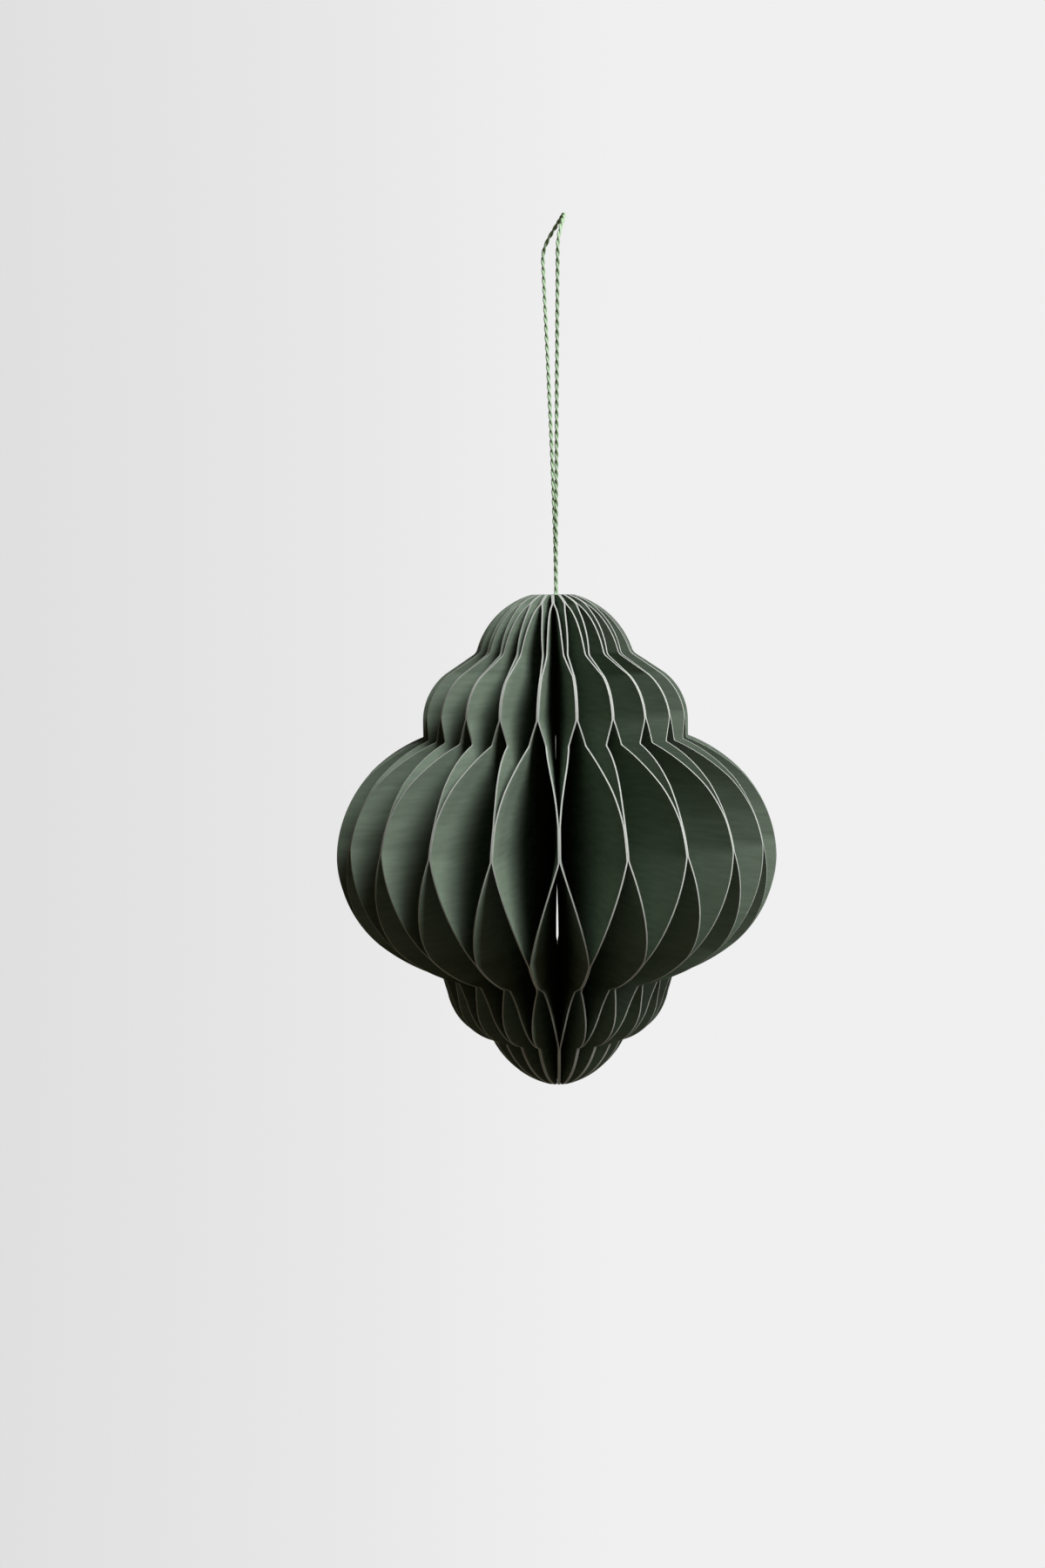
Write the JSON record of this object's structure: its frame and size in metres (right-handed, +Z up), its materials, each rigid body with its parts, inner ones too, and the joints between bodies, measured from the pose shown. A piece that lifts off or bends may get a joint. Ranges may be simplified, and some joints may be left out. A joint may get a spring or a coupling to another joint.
{
  "type": "honeycomb paper ornament",
  "caption": "Hanging ornament of equal paper leaves glued in a honeycomb and fanned all round into a lobed lantern outline, on a loop of thin twine.",
  "frame": {"origin": "on the ornament's axis, where a hook bears on the twine loop from below", "axes": "+Z up along the axis of the fan; -Y is the side seen in the picture, where a glued pair of leaves faces the viewer"},
  "size_m": [0.0796, 0.08, 0.1572],
  "materials": {
    "green_paper": "matt, fine horizontal grain, paler at the cut edge",
    "green_twine": "two-ply twisted cotton"
  },
  "bodies": {
    "root": {"leaf_01": "green_paper", "leaf_02": "green_paper", "leaf_03": "green_paper", "leaf_04": "green_paper", "leaf_05": "green_paper", "leaf_06": "green_paper", "leaf_07": "green_paper", "leaf_08": "green_paper", "leaf_09": "green_paper", "leaf_10": "green_paper", "leaf_11": "green_paper", "leaf_12": "green_paper", "leaf_13": "green_paper", "leaf_14": "green_paper", "leaf_15": "green_paper", "leaf_16": "green_paper", "leaf_17": "green_paper", "leaf_18": "green_paper", "leaf_19": "green_paper", "leaf_20": "green_paper", "leaf_21": "green_paper", "leaf_22": "green_paper", "leaf_23": "green_paper", "leaf_24": "green_paper", "leaf_25": "green_paper", "leaf_26": "green_paper", "leaf_27": "green_paper", "leaf_28": "green_paper", "leaf_29": "green_paper", "leaf_30": "green_paper", "leaf_31": "green_paper", "leaf_32": "green_paper", "leaf_33": "green_paper", "leaf_34": "green_paper", "leaf_35": "green_paper", "leaf_36": "green_paper", "leaf_37": "green_paper", "leaf_38": "green_paper", "leaf_39": "green_paper", "leaf_40": "green_paper", "leaf_41": "green_paper", "leaf_42": "green_paper", "leaf_43": "green_paper", "leaf_44": "green_paper", "hanging_cord": "green_twine"}
  },
  "joints": []
}
